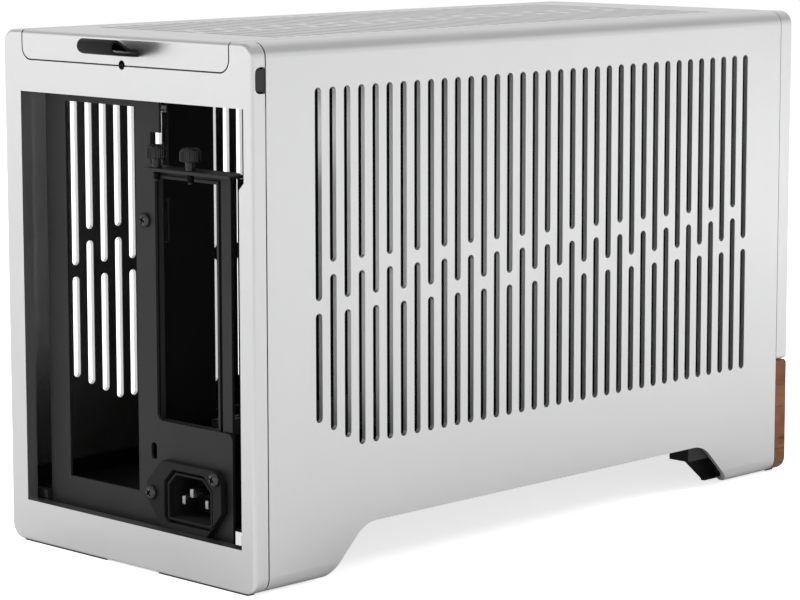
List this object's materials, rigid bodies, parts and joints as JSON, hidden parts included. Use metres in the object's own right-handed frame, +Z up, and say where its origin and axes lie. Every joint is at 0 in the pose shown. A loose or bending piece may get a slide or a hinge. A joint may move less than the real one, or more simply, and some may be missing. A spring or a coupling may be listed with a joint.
{
  "type": "mini-itx computer case",
  "caption": "Compact computer case: slotted aluminium panels and lift-off lid round a black steel chassis split by a spine wall, with a recessed rear plate and a walnut front foot.",
  "frame": {"origin": "middle of the whole outline (lid strap and button included) on the surface that the pads stand on", "axes": "+Z up, the front with the walnut strip faces -Y, the rear window faces +Y, +X is on the right seen from the front"},
  "size_m": [0.153, 0.3582, 0.218],
  "materials": {
    "anodised": "bead-blasted clear anodised",
    "black_steel": "fine-textured black powder coat",
    "walnut": "oiled open-pore walnut",
    "strap": "soft matt black",
    "pads": "matt black",
    "dark_screw": "black oxide steel",
    "steel_pin": "bright turned steel",
    "inlet_plastic": "matt black moulding",
    "contact": "tinned brass",
    "socket": "stamped steel",
    "board": "dark solder mask",
    "black_plastic": "matt black",
    "button": "anodised"
  },
  "bodies": {
    "chassis": {"rear_frame": "anodised", "front_panel": "anodised", "walnut_trim": "walnut", "button_switch": "black_plastic", "front_ports": "socket", "front_io_board": "board", "rear_left_foot_bracket": "black_steel", "rear_right_foot_bracket": "black_steel", "front_left_foot_bracket": "black_steel", "front_right_foot_bracket": "black_steel", "left_hinge_pins": "steel_pin", "right_hinge_pins": "steel_pin", "foot_pads": "pads", "base_floor": "black_steel", "front_bulkhead": "black_steel", "left_top_rail": "black_steel", "right_top_rail": "black_steel", "rear_plate": "black_steel", "slot_bracket": "black_steel", "plate_screw": "dark_screw", "inlet_screws": "dark_screw", "inlet_body": "inlet_plastic", "inlet_pins": "contact", "spine_wall": "black_steel", "standoffs": "dark_screw", "psu_bracket": "black_steel", "riser_bracket": "black_steel", "riser_board": "board", "riser_slot": "black_plastic", "side_post": "black_steel"},
    "lid": {"top_lid": "anodised", "lid_pull_tab": "strap", "lid_studs": "steel_pin"},
    "left_panel": {"left_side_panel": "anodised", "left_pull_tab": "black_plastic", "left_panel_studs": "steel_pin"},
    "right_panel": {"right_side_panel": "anodised", "right_pull_tab": "black_plastic", "right_panel_studs": "steel_pin"},
    "button": {"power_button": "button"},
    "screw_a": {"slot_thumbscrew_a": "dark_screw"},
    "screw_b": {"slot_thumbscrew_b": "dark_screw"}
  },
  "joints": [
    {"name": "left_panel_hinge", "type": "hinge", "parent": "chassis", "child": "left_panel", "pos_m": [-0.0701, 0, 0.0072], "axis": [0, -1, 0], "range_deg": [0, 75]},
    {"name": "right_panel_hinge", "type": "hinge", "parent": "chassis", "child": "right_panel", "pos_m": [0.0701, 0, 0.0072], "axis": [0, 1, 0], "range_deg": [0, 75]},
    {"name": "lid_lift", "type": "slide", "parent": "chassis", "child": "lid", "axis": [0, 0, 1], "range_m": [0, 0.06]},
    {"name": "power_button_press", "type": "slide", "parent": "chassis", "child": "button", "axis": [0, 1, 0], "range_m": [0, 0.0012], "stiffness_N_per_m": 400, "springref_m": -0.002},
    {"name": "thumbscrew_a_turn", "type": "hinge", "parent": "chassis", "child": "screw_a", "pos_m": [-0.0142, 0.1588, 0.17], "axis": [0, 0, 1], "continuous": true},
    {"name": "thumbscrew_b_turn", "type": "hinge", "parent": "chassis", "child": "screw_b", "pos_m": [-0.03452, 0.1588, 0.17], "axis": [0, 0, 1], "continuous": true}
  ]
}
